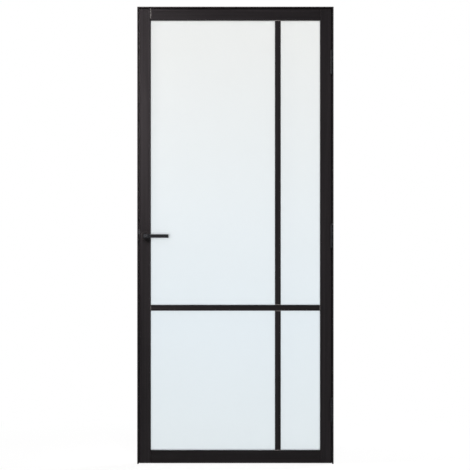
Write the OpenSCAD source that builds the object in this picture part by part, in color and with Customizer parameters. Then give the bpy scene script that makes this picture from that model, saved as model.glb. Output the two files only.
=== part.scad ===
// Black stile-and-rail glass door with an asymmetric cross of glazing bars, four satin panes,
// a lever latch, three butt hinges and a slim three-sided frame.
// X runs across the door, Y into its depth with the front at minus Y, Z up from the floor.

/* [Leaf] */
// Width of the door leaf
leaf_w = 834; // [700:1:960]
// Height of the door leaf
leaf_h = 1972; // [1850:1:2150]
// Thickness of the door leaf
leaf_t = 40; // [38:1:46]
// Face width of the two stiles
stile_w = 49; // [48:1:60]
// Face height of the top rail
top_rail_h = 49; // [46:1:80]
// Face height of the bottom rail
bottom_rail_h = 55; // [46:1:120]
// Face width of the glazing bars
bar_w = 25; // [23:0.5:36]
// Centre of the vertical bar from the hinge edge of the leaf
bar_from_hinge = 232.5; // [170:0.5:320]
// Centre of the horizontal bar above the bottom of the leaf
bar_height = 674; // [450:1:800]
// Radius on the long front edges
edge_r = 2; // [1:0.5:3]

/* [Glass] */
// Thickness of the panes
glass_t = 6; // [5:1:8]
// Thickness of the glazing tape on each side of a pane
tape_t = 2; // [1.5:0.5:3]
// Depth of the glazing rebate in stiles and rails
rebate = 9; // [8:0.5:9.5]
// Depth of the glazing rebate in the bars
bar_rebate = 8; // [7:0.5:8.5]
// Gap between the edge of a pane and the bottom of its rebate
glass_gap = 3; // [2:0.5:3.5]

/* [Frame] */
// Thickness of the frame beside and above the leaf
frame_edge = 6; // [6:0.5:10]
// Gap between the leaf and each jamb
side_gap = 3.5; // [3:0.1:4.5]
// Gap between the leaf and the head
head_gap = 4; // [3:0.5:6]
// Gap between the leaf and the floor
floor_gap = 4; // [3:1:12]
// Depth of the stop behind the leaf
stop_depth = 18; // [17:1:26]
// Height of the lowest wall fixing
fixing_first = 200; // [120:1:220]
// Distance of the highest wall fixing from the top of the frame
fixing_last = 226; // [120:1:260]
// Number of wall fixings on each jamb
fixing_count = 4; // [3:1:6]

/* [Hinges] */
// Height of a hinge plate
hinge_h = 100; // [90:1:120]
// Radius of the hinge knuckle
knuckle_r = 6.5; // [6.2:0.1:8]
// Radius of the hinge pin
pin_r = 3; // [2.5:0.1:3.5]
// Centre of the outer hinges from the ends of the leaf
hinge_from_end = 230; // [180:1:300]

/* [Lever] */
// Height of the lever axis above the bottom of the leaf
lever_height = 986; // [900:1:1050]
// Lever axis from the latch edge of the leaf
backset = 27.5; // [27:0.5:28]
// Reach of the lever from its axis to its tip
lever_len = 100; // [85:1:130]
// Side of the square lever bar
lever_bar = 15; // [13:0.5:16]
// Projection of the lever from the face of the leaf
lever_out = 56; // [52:1:66]
// Turn of the lever that draws the latch fully
lever_turn = 35; // [33:1:38]
// Radius of the round rose
rose_r = 20; // [19.5:0.5:20.5]

/* [Latch] */
// Throw of the latch bolt
bolt_throw = 9; // [8:0.5:9]
// Height of the latch bolt head
bolt_h = 22; // [21:0.5:23]
// Thickness of the latch bolt head
bolt_t = 12; // [10:0.5:12]

/* [Hidden] */
$fn = 48;

// Colours
black_lacquer = "#2e2a28";
black_metal = "#2a2a2c";
satin_glass = "#e6edf0";
steel = "#b9bbbd";
rubber = "#1c1c1c";
nylon = "#d8d6cf";
beech = "#c9a571";

// A hair of extra length that lets a cutter pass through a face
eps = 1;

// Leaf planes
leaf_x0 = -leaf_w / 2;
leaf_x1 = leaf_w / 2;
leaf_z0 = floor_gap;
leaf_z1 = floor_gap + leaf_h;
front = -leaf_t / 2;
back = leaf_t / 2;
glass_y0 = -glass_t / 2;
glass_y1 = glass_t / 2;
lip_y = glass_y0 - tape_t;
bead_y = glass_y1 + tape_t;

// Glazed opening inside stiles and rails, and the bars that divide it
open_x0 = leaf_x0 + stile_w;
open_x1 = leaf_x1 - stile_w;
open_z0 = leaf_z0 + bottom_rail_h;
open_z1 = leaf_z1 - top_rail_h;
bar_x = leaf_x1 - bar_from_hinge;
bar_z = leaf_z0 + bar_height;
web_half = bar_w / 2 - bar_rebate;

// Panes in the order upper wide, upper narrow, lower wide, lower narrow
// Sight edges of a pane as left, right, bottom and top
function pane_edges(i) = [
    i % 2 == 0 ? open_x0 : bar_x + bar_w / 2,
    i % 2 == 0 ? bar_x - bar_w / 2 : open_x1,
    i < 2 ? bar_z + bar_w / 2 : open_z0,
    i < 2 ? open_z1 : bar_z - bar_w / 2
];
// Rebate depths of a pane as left, right, bottom and top
function pane_rebates(i) = [
    i % 2 == 0 ? rebate : bar_rebate,
    i % 2 == 0 ? bar_rebate : rebate,
    i < 2 ? bar_rebate : rebate,
    i < 2 ? rebate : bar_rebate
];

// Joinery
groove = 2;
bar_groove = 1.5;
dowel_y = (lip_y + back) / 2;
corner_dowel_r = 4;
corner_dowel_step = 9;
corner_dowel_in_stile = 25;
corner_dowel_in_rail = 35;
bar_dowel_r = 2.5;
dowel_play = 0.03;
bar_dowel_in_post = 15;
bar_dowel_in_bar = 25;
bead_r = 3;
mitre_gap = 0.1;

// Setting blocks under each pane, as a length and as shares of the pane's width
block_len = 50;
block_shares = [0.25, 0.75];

// Frame profile, measured from its outer face
frame_w = leaf_w + 2 * (side_gap + frame_edge);
frame_h = floor_gap + leaf_h + head_gap + frame_edge;
rose_clearance = 1;
stop_cover = backset - rose_r - rose_clearance;
seal_gap = 4;
seal_mouth = 1.1;
seal_foot = 2.1;
seal_pad = 2.5;
seal_bulb_r = 2.3;
seal_bore_r = 1.2;
seal_play = 0.1;
seal_neck = 2;
seal_foot_t = 2.3;
seal_touch = 0.3;
seal_reach = seal_gap - seal_touch;
stop_y = back + seal_gap;
frame_back = stop_y + stop_depth;
stop_w = frame_edge + side_gap + stop_cover;
seal_u = frame_edge + side_gap + seal_pad;
chamber_wall = 2;
chamber_y0 = stop_y + seal_neck + seal_foot_t + seal_play + chamber_wall;
chamber_y1 = frame_back - chamber_wall;
profile_r = 1;
mitre_len = 100;
cleat_len = 62;
cleat_play = 0.2;
corner_screw_at = [34, 52];
corner_screw_u = stop_w / 2;
fixing_y = (chamber_y0 + chamber_y1) / 2;
fixing_step = (frame_h - fixing_first - fixing_last) / (fixing_count - 1);
fixing_r = 3.25;
access_r = 4.3;
cap_rim = 1.2;
cap_play = 0.05;

// Hinges, whose axis stands in the middle of the side gap and in front of the leaf
hinge_axis_x = leaf_x1 + side_gap / 2;
knuckle_gap = 0.5;
knuckle_bevel = 0.5;
hinge_axis_y = front - knuckle_r - knuckle_gap;
hinge_plate_t = 3;
hinge_plate_d = 30;
hinge_corner_r = 5;
washer_t = 1;
washer_inset = 0.6;
hinge_lift = 0.2;
pin_play = 0.05;
knuckle_h = (hinge_h - 2 * washer_t) / 3;
pin_tip_h = 3;
pin_tip_rim = 2;
pin_tip_bevel = 1.2;
pin_tip_r = pin_r + pin_tip_rim;
hinge_z = [leaf_z0 + hinge_from_end, leaf_z0 + leaf_h / 2, leaf_z1 - hinge_from_end];
hinge_screw_near = 10;
hinge_screw_far = 20;
hinge_screw_end = 15;
hinge_screw_places = [
    [hinge_screw_near, hinge_screw_end - hinge_h / 2],
    [hinge_screw_far, 0],
    [hinge_screw_near, hinge_h / 2 - hinge_screw_end]
];

// Share of a screw's shank that its socket takes, and metal left beyond the tip of a frame screw
socket_share = 0.6;
tip_cover = 0.5;

// Countersunk screws as head radius, shank radius and length
hinge_leaf_screw = [4.2, 2.2, 28];
hinge_frame_screw = [4.2, 2.2, frame_edge - tip_cover];
corner_screw = [4, 2.5, 8];
strike_screw = [3.4, 2, frame_edge - tip_cover];
faceplate_screw = [3.6, 2, 28];
rose_screw = [2.4, 1.4, 14];
case_screw = [2, 1.25, 8];

// Play around a screw and beyond its tip
screw_play = 0.05;
screw_end_play = 0.5;

// Lever and lock
axis_x = leaf_x0 + backset;
axis_z = leaf_z0 + lever_height;
spindle_side = 8;
spindle_out = 32;
spindle_half_len = back + spindle_out;
socket_play = 0.05;
socket_end_gap = 0.5;
rose_t = 8;
rose_wall = 1.5;
rose_base_t = 5;
rose_base_play = 0.1;
rose_bore_gap = 0.3;
rose_screw_edge = 2.8;
rose_screw_offset = rose_r - rose_wall - rose_screw_edge;
bush_r = 13;
bush_play = 0.05;
collar_r = 10.5;
collar_play = 0.05;
collar_gap = 1.5;
shoulder_gap = 0.3;
shoulder_r = 12;
shoulder_h = 2.4;
lever_corner_r = 3;
lever_tip_bevel = 1;
elbow_r = 12;
lever_bar_y = front - lever_out + lever_bar / 2;
grub_r = 2.5;
grub_out = 18;
grub_sink = 0.3;
grub_y = front - grub_out;
spindle_hole_r = 10;

faceplate_t = 3;
faceplate_w = 20;
faceplate_below = 54;
faceplate_above = 66;
faceplate_z0 = axis_z - faceplate_below;
faceplate_z1 = axis_z + faceplate_above;
faceplate_screw_in = 8;
case_x0 = leaf_x0 + faceplate_t;
case_depth = 37.2;
case_x1 = leaf_x0 + case_depth;
case_half_t = 7.5;
case_wall = 1;
case_below = 27;
case_above = 38;
case_z0 = axis_z - case_below;
case_z1 = axis_z + case_above;
pocket_play = 0.3;
post_r = 2.5;
post_in = 2;
trunnion_r = 7;
hub_r = 8;
hub_play = 0.3;

// Follower arms, whose tip turns from its rest lean up to the upright
arm_r = bolt_throw / sin(lever_turn);
arm_tip_r = 2.5;
arm_half_w = 1.5;
arm_t = 6;
lower_arm_r = 14;
lower_arm_lean = lever_turn / 2;

// Latch bolt, whose heights are counted from the lever axis
bolt_z0 = 8;
bolt_z1 = bolt_z0 + bolt_h;
bolt_head_depth = 13;
bolt_head_x1 = leaf_x0 + bolt_head_depth;
bolt_play = 0.2;
tail_half_t = 5;
tail_gap = 0.5;
tail_h = 4.6;
tail_z0 = arm_r + arm_tip_r + tail_gap;
tail_z1 = tail_z0 + tail_h;
tooth_gap = 0.3;
tooth_x0 = axis_x - bolt_throw + arm_tip_r + tooth_gap;
tooth_t = 3.8;
tooth_hang = 0.6;
tooth_z0 = arm_r * cos(lever_turn) - tooth_hang;
bevel = 9;
strike_play = 0.5;
strike_t = 2;
strike_lip = 2;
strike_y0 = front + strike_lip;
strike_y1 = 12;
strike_half_h = 45;
strike_screw_at = 35;
strike_screw_in = 6;
strike_z = axis_z + (bolt_z0 + bolt_z1) / 2;

// Springs as mean coil radius, wire radius and number of turns
latch_spring_size = [2.4, 0.45, 8];
latch_spring_z = tail_z1 + latch_spring_size[0] + latch_spring_size[1] + tail_gap;
return_spring_z = -15;
return_spring_gap = 0.6;
return_spring_size = [2.9, 0.5, 8];

// Building blocks

// A block between two opposite corners
module box(from, to) {
    translate(from) cube(to - from);
}

// Round rods along the three axes
module rod_x(x0, x1, y, z, r) {
    translate([x0, y, z]) rotate([0, 90, 0]) cylinder(h = x1 - x0, r = r);
}

module rod_y(x, y0, y1, z, r) {
    translate([x, y0, z]) rotate([-90, 0, 0]) cylinder(h = y1 - y0, r = r);
}

module rod_z(x, y, z0, z1, r) {
    translate([x, y, z0]) cylinder(h = z1 - z0, r = r);
}

// Flat section in Y and Z drawn out along X
module along_x(x0, x1) {
    translate([x0, 0, 0]) rotate([90, 0, 90]) linear_extrude(x1 - x0) children();
}

// Flat outline in X and Z drawn out along Y
module along_y(y0, y1) {
    translate([0, y1, 0]) rotate([90, 0, 0]) linear_extrude(y1 - y0) children();
}

// Cutter that rounds the corner of a section at the origin, with the material toward plus and plus
module corner_cut(r) {
    difference() {
        translate([-eps, -eps]) square(r + eps);
        translate([r, r]) circle(r);
    }
}

// Square section with round corners, centred
module round_square(side, r) {
    difference() {
        square(side, center = true);
        for (turn = [0:90:270]) rotate(turn) translate([-side / 2, -side / 2]) corner_cut(r);
    }
}

// Countersunk screw along plus Z with the top of its head at the origin and a hexagon socket
module screw(size) {
    difference() {
        union() {
            cylinder(h = size[0] - size[1], r1 = size[0], r2 = size[1]);
            cylinder(h = size[2], r = size[1]);
        }
        socket_r = socket_share * size[1];
        translate([0, 0, -eps]) cylinder(h = eps + socket_r, r = socket_r, $fn = 6);
    }
}

// Hole for the same screw
module screw_hole(size) {
    shank_r = size[1] + screw_play;
    cylinder(h = size[0] - shank_r, r1 = size[0], r2 = shank_r);
    cylinder(h = size[2] + screw_end_play, r = shank_r);
    translate([0, 0, -eps]) cylinder(h = eps, r = size[0]);
}

// Compression spring along plus X with closed end turns
function coil_x(t, turns, length, wire_r) =
    let (pitch = (length - 6 * wire_r) / (turns - 2))
    wire_r + pitch * max(0, min(t - 1, turns - 2)) + 2 * wire_r * (min(t, 1) + max(0, t - turns + 1));

module coil_spring(length, size) {
    coil_r = size[0];
    wire_r = size[1];
    turns = size[2];
    per_turn = 14;
    sides = 6;
    steps = turns * per_turn;
    points = [
        for (i = [0:steps]) for (j = [0:sides - 1])
            let (
                at = 360 * i / per_turn,
                around = 360 * j / sides,
                r = coil_r + wire_r * cos(around)
            )
            [coil_x(i / per_turn, turns, length, wire_r) + wire_r * sin(around), r * cos(at), r * sin(at)]
    ];
    walls = [
        for (i = [0:steps - 1]) for (j = [0:sides - 1])
            let (next = (j + 1) % sides)
            [i * sides + j, i * sides + next, (i + 1) * sides + next, (i + 1) * sides + j]
    ];
    start_cap = [[for (j = [sides - 1:-1:0]) j]];
    end_cap = [[for (j = [0:sides - 1]) steps * sides + j]];
    polyhedron(points, concat(walls, start_cap, end_cap));
}

// Frame

// Section of the frame profile, with u from its outer face across to the doorway and y into depth
module frame_section() {
    difference() {
        union() {
            translate([0, front]) square([frame_edge, stop_y - front]);
            translate([0, stop_y]) square([stop_w, stop_depth]);
        }
        translate([chamber_wall, chamber_y0])
            square([stop_w - 2 * chamber_wall, chamber_y1 - chamber_y0]);
        translate([seal_u - seal_mouth, stop_y - eps]) square([2 * seal_mouth, seal_neck + eps]);
        translate([seal_u - seal_foot, stop_y + seal_neck]) square([2 * seal_foot, seal_foot_t + seal_play]);
        translate([0, front]) corner_cut(profile_r);
        translate([frame_edge, front]) mirror([1, 0]) corner_cut(profile_r);
        translate([stop_w, stop_y]) mirror([1, 0]) corner_cut(profile_r);
        translate([stop_w, frame_back]) rotate(180) corner_cut(profile_r);
    }
}

// Section of the bulb seal in its groove
module seal_section() {
    pad_t = 0.7;
    neck = seal_mouth - seal_play;
    foot = seal_foot - seal_play;
    difference() {
        union() {
            intersection() {
                translate([seal_u, stop_y - seal_reach + seal_bulb_r]) circle(seal_bulb_r);
                translate([seal_u - seal_pad, stop_y - seal_gap]) square([2 * seal_pad, seal_gap]);
            }
            translate([seal_u - seal_pad, stop_y - pad_t]) square([2 * seal_pad, pad_t]);
            translate([seal_u - neck, stop_y - pad_t / 2]) square([2 * neck, seal_neck + pad_t / 2]);
            translate([seal_u - foot, stop_y + seal_neck]) square([2 * foot, seal_foot_t]);
        }
        translate([seal_u, stop_y - seal_reach + seal_bulb_r]) circle(seal_bore_r);
    }
}

// Section drawn up the latch jamb and cut to the mitre
module along_jamb() {
    difference() {
        translate([-frame_w / 2, 0, 0]) linear_extrude(frame_h) children();
        along_y(front - eps, frame_back + eps) polygon([
            [-frame_w / 2 - eps, frame_h + eps],
            [-frame_w / 2 + mitre_len, frame_h + eps],
            [-frame_w / 2 + mitre_len, frame_h - mitre_len]
        ]);
    }
}

// Section drawn along the head and cut to both mitres
module along_head() {
    difference() {
        translate([-frame_w / 2, 0, frame_h]) rotate([0, 90, 0]) linear_extrude(frame_w) children();
        for (side = [0, 1]) mirror([side, 0, 0])
            along_y(front - eps, frame_back + eps) polygon([
                [-frame_w / 2 - eps, frame_h + eps],
                [-frame_w / 2 - eps, frame_h - mitre_len],
                [-frame_w / 2 + mitre_len, frame_h - mitre_len]
            ]);
    }
}

// Heights of the wall fixings on a jamb
function fixing_heights() = [for (i = [0:fixing_count - 1]) fixing_first + i * fixing_step];

// Wall fixing holes of the latch jamb with wider access holes on the doorway side
module fixing_holes() {
    for (z = fixing_heights()) {
        rod_x(-frame_w / 2 - eps, -frame_w / 2 + chamber_wall + eps, fixing_y, z, fixing_r);
        rod_x(-frame_w / 2 + stop_w - chamber_wall - eps, -frame_w / 2 + stop_w + eps, fixing_y, z, access_r);
    }
}

// Puts a screw into the back of the frame at each screw place of the latch corner
module at_latch_corner_screws() {
    for (d = corner_screw_at) {
        translate([-frame_w / 2 + corner_screw_u, frame_back, frame_h - d]) rotate([90, 0, 0]) children();
        translate([-frame_w / 2 + d, frame_back, frame_h - corner_screw_u]) rotate([90, 0, 0]) children();
    }
}

module at_corner_screws() {
    for (side = [0, 1]) mirror([side, 0, 0]) at_latch_corner_screws() children();
}

// Puts a screw into the latch jamb through the strike plate
module at_strike_screws() {
    for (dz = [-strike_screw_at, strike_screw_at])
        translate([-frame_w / 2 + frame_edge, strike_y0 + strike_screw_in, strike_z + dz])
            rotate([0, -90, 0]) children();
}

// Space that the latch bolt enters
module strike_slot() {
    box(
        [-frame_w / 2 - eps, -bolt_t / 2 - strike_play, axis_z + bolt_z0 - strike_play],
        [leaf_x0, bolt_t / 2 + strike_play, axis_z + bolt_z1 + strike_play]
    );
}

// Blank of the strike plate, drawn out past the face of the jamb by the given amount
module strike_blank(past = 0) {
    box(
        [-frame_w / 2 + frame_edge - strike_t, strike_y0, strike_z - strike_half_h],
        [-frame_w / 2 + frame_edge + past, strike_y1, strike_z + strike_half_h]
    );
}

module frame_jamb_latch() {
    color(black_metal) difference() {
        along_jamb() frame_section();
        fixing_holes();
        at_latch_corner_screws() screw_hole(corner_screw);
        strike_blank(eps);
        strike_slot();
        at_strike_screws() screw_hole(strike_screw);
    }
}

module frame_jamb_hinge() {
    color(black_metal) difference() {
        mirror([1, 0, 0]) along_jamb() frame_section();
        mirror([1, 0, 0]) fixing_holes();
        mirror([1, 0, 0]) at_latch_corner_screws() screw_hole(corner_screw);
        for (z = hinge_z) frame_plate_pocket(z);
        at_hinge_frame_screws() screw_hole(hinge_frame_screw);
    }
}

module frame_head() {
    color(black_metal) difference() {
        along_head() frame_section();
        at_corner_screws() screw_hole(corner_screw);
    }
}

module latch_corner_cleat() {
    u0 = chamber_wall + cleat_play;
    u1 = stop_w - chamber_wall - cleat_play;
    x = -frame_w / 2;
    along_y(chamber_y0, chamber_y1) polygon([
        [x + u0, frame_h - cleat_len],
        [x + u1, frame_h - cleat_len],
        [x + u1, frame_h - u1],
        [x + cleat_len, frame_h - u1],
        [x + cleat_len, frame_h - u0],
        [x + u0, frame_h - u0]
    ]);
}

module corner_cleats() {
    color(steel) difference() {
        for (side = [0, 1]) mirror([side, 0, 0]) latch_corner_cleat();
        at_corner_screws() screw_hole(corner_screw);
    }
}

module corner_screws() {
    color(black_metal) at_corner_screws() screw(corner_screw);
}

module seal_latch() {
    color(rubber) along_jamb() seal_section();
}

module seal_hinge() {
    color(rubber) mirror([1, 0, 0]) along_jamb() seal_section();
}

module seal_head() {
    color(rubber) along_head() seal_section();
}

module strike_plate() {
    color(steel) difference() {
        strike_blank();
        strike_slot();
        at_strike_screws() screw_hole(strike_screw);
    }
}

module strike_screws() {
    color(steel) at_strike_screws() screw(strike_screw);
}

// Plugs that close the access holes of the wall fixings
module fixing_caps() {
    color(black_metal) for (side = [0, 1]) mirror([side, 0, 0])
        for (z = fixing_heights()) {
            x = -frame_w / 2 + stop_w;
            rod_x(x - chamber_wall, x, fixing_y, z, access_r - cap_play);
            rod_x(x, x + cap_rim, fixing_y, z, access_r + cap_rim);
        }
}

// Hinges

// Outline of a hinge plate around its middle, in Y and Z, drawn out past the front by the given amount
module hinge_outline(z, past = 0) {
    translate([front, z - hinge_h / 2]) difference() {
        translate([-past, 0]) square([hinge_plate_d + past, hinge_h]);
        translate([hinge_plate_d, 0]) rotate(90) corner_cut(hinge_corner_r);
        translate([hinge_plate_d, hinge_h]) rotate(180) corner_cut(hinge_corner_r);
    }
}

module leaf_plate_blank(z) {
    along_x(leaf_x1 - hinge_plate_t, leaf_x1) hinge_outline(z);
}

module frame_plate_blank(z) {
    along_x(leaf_x1 + side_gap, leaf_x1 + side_gap + hinge_plate_t) hinge_outline(z);
}

// Pockets that the plates are let into
module leaf_plate_pocket(z) {
    along_x(leaf_x1 - hinge_plate_t, leaf_x1 + eps) hinge_outline(z, eps);
}

module frame_plate_pocket(z) {
    along_x(leaf_x1 + side_gap - eps, leaf_x1 + side_gap + hinge_plate_t) hinge_outline(z, eps);
}

// Puts a screw at each screw place of one hinge, into the leaf or into the frame
module at_leaf_plate_screws(z) {
    for (place = hinge_screw_places)
        translate([leaf_x1, front + place[0], z + place[1]]) rotate([0, -90, 0]) children();
}

module at_frame_plate_screws(z) {
    for (place = hinge_screw_places)
        translate([leaf_x1 + side_gap, front + place[0], z + place[1]]) rotate([0, 90, 0]) children();
}

module at_hinge_leaf_screws() {
    for (z = hinge_z) at_leaf_plate_screws(z) children();
}

module at_hinge_frame_screws() {
    for (z = hinge_z) at_frame_plate_screws(z) children();
}

module pin_bore(z) {
    rod_z(hinge_axis_x, hinge_axis_y, z - hinge_h, z + hinge_h, pin_r + pin_play);
}

// One knuckle of a hinge with bevelled ends
module knuckle(z0, z1) {
    translate([hinge_axis_x, hinge_axis_y, z0]) {
        translate([0, 0, knuckle_bevel]) cylinder(h = z1 - z0 - 2 * knuckle_bevel, r = knuckle_r);
        cylinder(h = knuckle_bevel, r1 = knuckle_r - knuckle_bevel, r2 = knuckle_r);
        translate([0, 0, z1 - z0 - knuckle_bevel])
            cylinder(h = knuckle_bevel, r1 = knuckle_r, r2 = knuckle_r - knuckle_bevel);
    }
}

// Frame half of a hinge, with the two outer knuckles
module hinge_frame_plate(z) {
    color(black_metal) difference() {
        union() {
            frame_plate_blank(z);
            for (z0 = [z - hinge_h / 2, z + hinge_h / 2 - knuckle_h]) {
                knuckle(z0, z0 + knuckle_h);
                box(
                    [leaf_x1 + side_gap, hinge_axis_y, z0],
                    [leaf_x1 + side_gap + hinge_plate_t, front, z0 + knuckle_h]
                );
            }
        }
        pin_bore(z);
        at_frame_plate_screws(z) screw_hole(hinge_frame_screw);
    }
}

// Leaf half of a hinge, with the middle knuckle
module hinge_leaf_plate(z) {
    z0 = z - hinge_h / 2 + knuckle_h + washer_t;
    z1 = z0 + knuckle_h - hinge_lift;
    color(black_metal) difference() {
        union() {
            leaf_plate_blank(z);
            knuckle(z0, z1);
            box([leaf_x1 - hinge_plate_t, hinge_axis_y, z0], [leaf_x1, front, z1]);
        }
        pin_bore(z);
        at_leaf_plate_screws(z) screw_hole(hinge_leaf_screw);
    }
}

module hinge_bottom_frame_plate() {
    hinge_frame_plate(hinge_z[0]);
}

module hinge_middle_frame_plate() {
    hinge_frame_plate(hinge_z[1]);
}

module hinge_top_frame_plate() {
    hinge_frame_plate(hinge_z[2]);
}

module hinge_bottom_leaf_plate() {
    hinge_leaf_plate(hinge_z[0]);
}

module hinge_middle_leaf_plate() {
    hinge_leaf_plate(hinge_z[1]);
}

module hinge_top_leaf_plate() {
    hinge_leaf_plate(hinge_z[2]);
}

// Button tip of a hinge pin with a bevelled end
module pin_tip() {
    cylinder(h = pin_tip_h - pin_tip_bevel, r = pin_tip_r);
    translate([0, 0, pin_tip_h - pin_tip_bevel])
        cylinder(h = pin_tip_bevel, r1 = pin_tip_r, r2 = pin_tip_r - pin_tip_bevel);
}

module hinge_pins() {
    color(black_metal) for (z = hinge_z) {
        rod_z(hinge_axis_x, hinge_axis_y, z - hinge_h / 2, z + hinge_h / 2, pin_r);
        for (flip = [0, 1]) translate([hinge_axis_x, hinge_axis_y, z]) mirror([0, 0, flip])
            translate([0, 0, hinge_h / 2]) pin_tip();
    }
}

// Thrust washers above and below each middle knuckle
module hinge_washers() {
    color(rubber) difference() {
        for (z = hinge_z) for (z0 = [z - hinge_h / 2 + knuckle_h, z + hinge_h / 2 - knuckle_h - washer_t])
            rod_z(hinge_axis_x, hinge_axis_y, z0, z0 + washer_t, knuckle_r - washer_inset);
        for (z = hinge_z) pin_bore(z);
    }
}

module hinge_frame_screws() {
    color(black_metal) at_hinge_frame_screws() screw(hinge_frame_screw);
}

module hinge_leaf_screws() {
    color(black_metal) at_hinge_leaf_screws() screw(hinge_leaf_screw);
}

// Leaf joinery

// Stile section for the latch side, with the rebate open to the back
module stile_section() {
    difference() {
        translate([leaf_x0, front]) square([stile_w, leaf_t]);
        translate([open_x0 - rebate, lip_y]) square([rebate + eps, back - lip_y + eps]);
        translate([leaf_x0, front]) corner_cut(edge_r);
        translate([open_x0, front]) mirror([1, 0]) corner_cut(edge_r);
        translate([leaf_x0, back]) mirror([0, 1]) corner_cut(edge_r);
    }
}

module latch_side_stile() {
    translate([0, 0, leaf_z0]) linear_extrude(leaf_h) stile_section();
}

module stile_latch() {
    color(black_lacquer) difference() {
        latch_side_stile();
        corner_dowel_rods(dowel_play);
        bar_dowel_rods(dowel_play);
        lock_pocket();
        rod_y(axis_x, front - eps, back + eps, axis_z, spindle_hole_r);
        at_faceplate_screws() screw_hole(faceplate_screw);
        at_rose_screws() screw_hole(rose_screw);
    }
}

module stile_hinge() {
    color(black_lacquer) difference() {
        mirror([1, 0, 0]) latch_side_stile();
        corner_dowel_rods(dowel_play);
        bar_dowel_rods(dowel_play);
        for (z = hinge_z) leaf_plate_pocket(z);
        at_hinge_leaf_screws() screw_hole(hinge_leaf_screw);
    }
}

// Rail between the stiles, drawn as the top rail with its rebate facing down
module rail(height, sight_z) {
    difference() {
        union() {
            along_x(open_x0, open_x1) difference() {
                translate([front, sight_z]) square([lip_y - front, height]);
                translate([front, sight_z]) corner_cut(edge_r);
            }
            along_x(open_x0 - rebate, open_x1 + rebate)
                translate([lip_y, sight_z + rebate]) square([back - lip_y, height - rebate]);
        }
        for (side = [0, 1]) mirror([side, 0, 0]) end_groove(open_x0, sight_z, sight_z + height);
    }
}

// Bevel on the front edge of an upright end face at the given place, over a range of heights
module end_groove(x, z0, z1) {
    translate([0, 0, z0 - eps]) linear_extrude(z1 - z0 + 2 * eps)
        polygon([[x - eps, front - eps], [x + groove + eps, front - eps], [x - eps, front + groove + eps]]);
}

module rail_top() {
    color(black_lacquer) difference() {
        rail(top_rail_h, open_z1);
        corner_dowel_rods(dowel_play);
        bar_dowel_rods(dowel_play);
    }
}

module rail_bottom() {
    color(black_lacquer) difference() {
        translate([0, 0, open_z0]) mirror([0, 0, 1]) rail(bottom_rail_h, 0);
        corner_dowel_rods(dowel_play);
        bar_dowel_rods(dowel_play);
    }
}

// Section of a glazing bar, its cap in front and its web behind, centred
module bar_cap_section() {
    translate([-bar_w / 2, front]) difference() {
        square([bar_w, lip_y - front]);
        corner_cut(edge_r);
        translate([bar_w, 0]) mirror([1, 0]) corner_cut(edge_r);
    }
}

module bar_web_section() {
    translate([-web_half, lip_y]) square([2 * web_half, back - lip_y]);
}

// Upright bar with bevelled cap ends, whose web runs on past both ends of its cap
module upright_bar(z0, z1, web_below, web_above) {
    difference() {
        translate([bar_x, 0, z0]) linear_extrude(z1 - z0) bar_cap_section();
        translate([0, 0, z0]) cap_end_groove();
        translate([0, 0, z1]) mirror([0, 0, 1]) cap_end_groove();
    }
    translate([bar_x, 0, z0 - web_below]) linear_extrude(z1 - z0 + web_below + web_above) bar_web_section();
}

// Bevel on the front edge of an upright bar's lower end
module cap_end_groove() {
    along_x(bar_x - bar_w / 2 - eps, bar_x + bar_w / 2 + eps)
        polygon([[front - eps, -eps], [front + bar_groove + eps, -eps], [front - eps, bar_groove + eps]]);
}

module bar_horizontal() {
    color(black_lacquer) difference() {
        union() {
            translate([open_x0, 0, bar_z]) rotate([0, 90, 0]) linear_extrude(open_x1 - open_x0)
                bar_cap_section();
            translate([open_x0 - rebate, 0, bar_z]) rotate([0, 90, 0])
                linear_extrude(open_x1 - open_x0 + 2 * rebate) bar_web_section();
        }
        for (side = [0, 1]) mirror([side, 0, 0])
            end_groove(open_x0, bar_z - bar_w / 2, bar_z + bar_w / 2);
        bar_dowel_rods(dowel_play);
    }
}

module bar_vertical_upper() {
    color(black_lacquer) difference() {
        upright_bar(bar_z + bar_w / 2, open_z1, bar_rebate, rebate);
        bar_dowel_rods(dowel_play);
    }
}

module bar_vertical_lower() {
    color(black_lacquer) difference() {
        upright_bar(open_z0, bar_z - bar_w / 2, rebate, bar_rebate);
        bar_dowel_rods(dowel_play);
    }
}

// Two dowels in each corner of the leaf, or their holes with the given play
module corner_dowel_rods(play = 0) {
    z_top = (open_z1 + rebate + leaf_z1) / 2;
    z_bottom = (open_z0 - rebate + leaf_z0) / 2;
    end_x = open_x0 - rebate;
    for (side = [0, 1]) mirror([side, 0, 0])
        for (z = [z_top, z_bottom]) for (dz = [-corner_dowel_step, corner_dowel_step])
            rod_x(
                end_x - corner_dowel_in_stile - play,
                end_x + corner_dowel_in_rail + play,
                dowel_y, z + dz, corner_dowel_r + play
            );
}

// A dowel at each end of the bars, and one through their crossing, or their holes with the given play
module bar_dowel_rods(play = 0) {
    r = bar_dowel_r + play;
    in_post = bar_dowel_in_post + play;
    in_bar = bar_dowel_in_bar + play;
    end_x = open_x0 - rebate;
    top_z = open_z1 + rebate;
    bottom_z = open_z0 - rebate;
    for (side = [0, 1]) mirror([side, 0, 0]) rod_x(end_x - in_post, end_x + in_bar, dowel_y, bar_z, r);
    rod_z(bar_x, dowel_y, top_z - in_bar, top_z + in_post, r);
    rod_z(bar_x, dowel_y, bottom_z - in_post, bottom_z + in_bar, r);
    rod_z(bar_x, dowel_y, bar_z - in_bar, bar_z + in_bar, r);
}

module corner_dowels() {
    color(beech) corner_dowel_rods();
}

module bar_dowels() {
    color(beech) bar_dowel_rods();
}

// Glazing

// Block over a pane's sight opening, grown on each side by the four given amounts
module pane_block(i, grow, y0, y1) {
    edges = pane_edges(i);
    box([edges[0] - grow[0], y0, edges[2] - grow[2]], [edges[1] + grow[1], y1, edges[3] + grow[3]]);
}

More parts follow.
